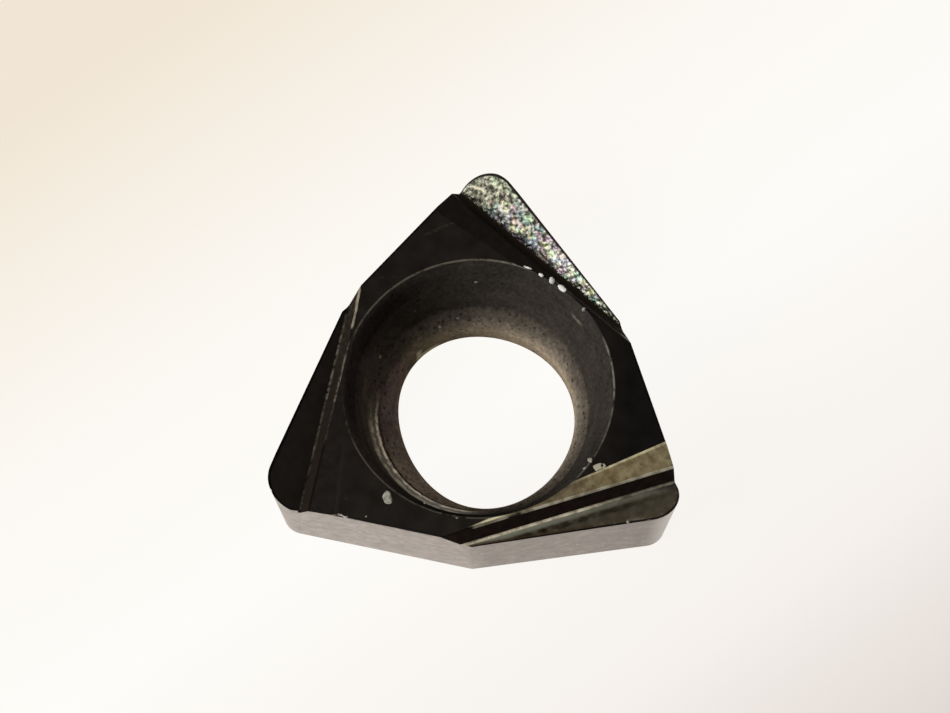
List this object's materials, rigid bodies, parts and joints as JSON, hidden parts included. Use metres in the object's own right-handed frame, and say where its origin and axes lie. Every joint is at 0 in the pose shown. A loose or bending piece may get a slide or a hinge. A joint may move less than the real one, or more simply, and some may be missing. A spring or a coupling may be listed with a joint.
{
  "type": "boring insert",
  "caption": "Small trigon carbide cutting insert with a ground chip groove at each rounded nose, leaning flanks and a countersunk central screw hole.",
  "frame": {"origin": "on the screw hole's axis, in the flat seating face under the insert", "axes": "+Z along the screw hole, from the seating face to the cutting face; one nose points along +Y"},
  "size_m": [0.005, 0.0049, 0.0016],
  "materials": {
    "carbide": "dark sintered carbide, satin, with lighter ground flanks and grooves"
  },
  "bodies": {
    "root": {"insert": "carbide"}
  },
  "joints": []
}
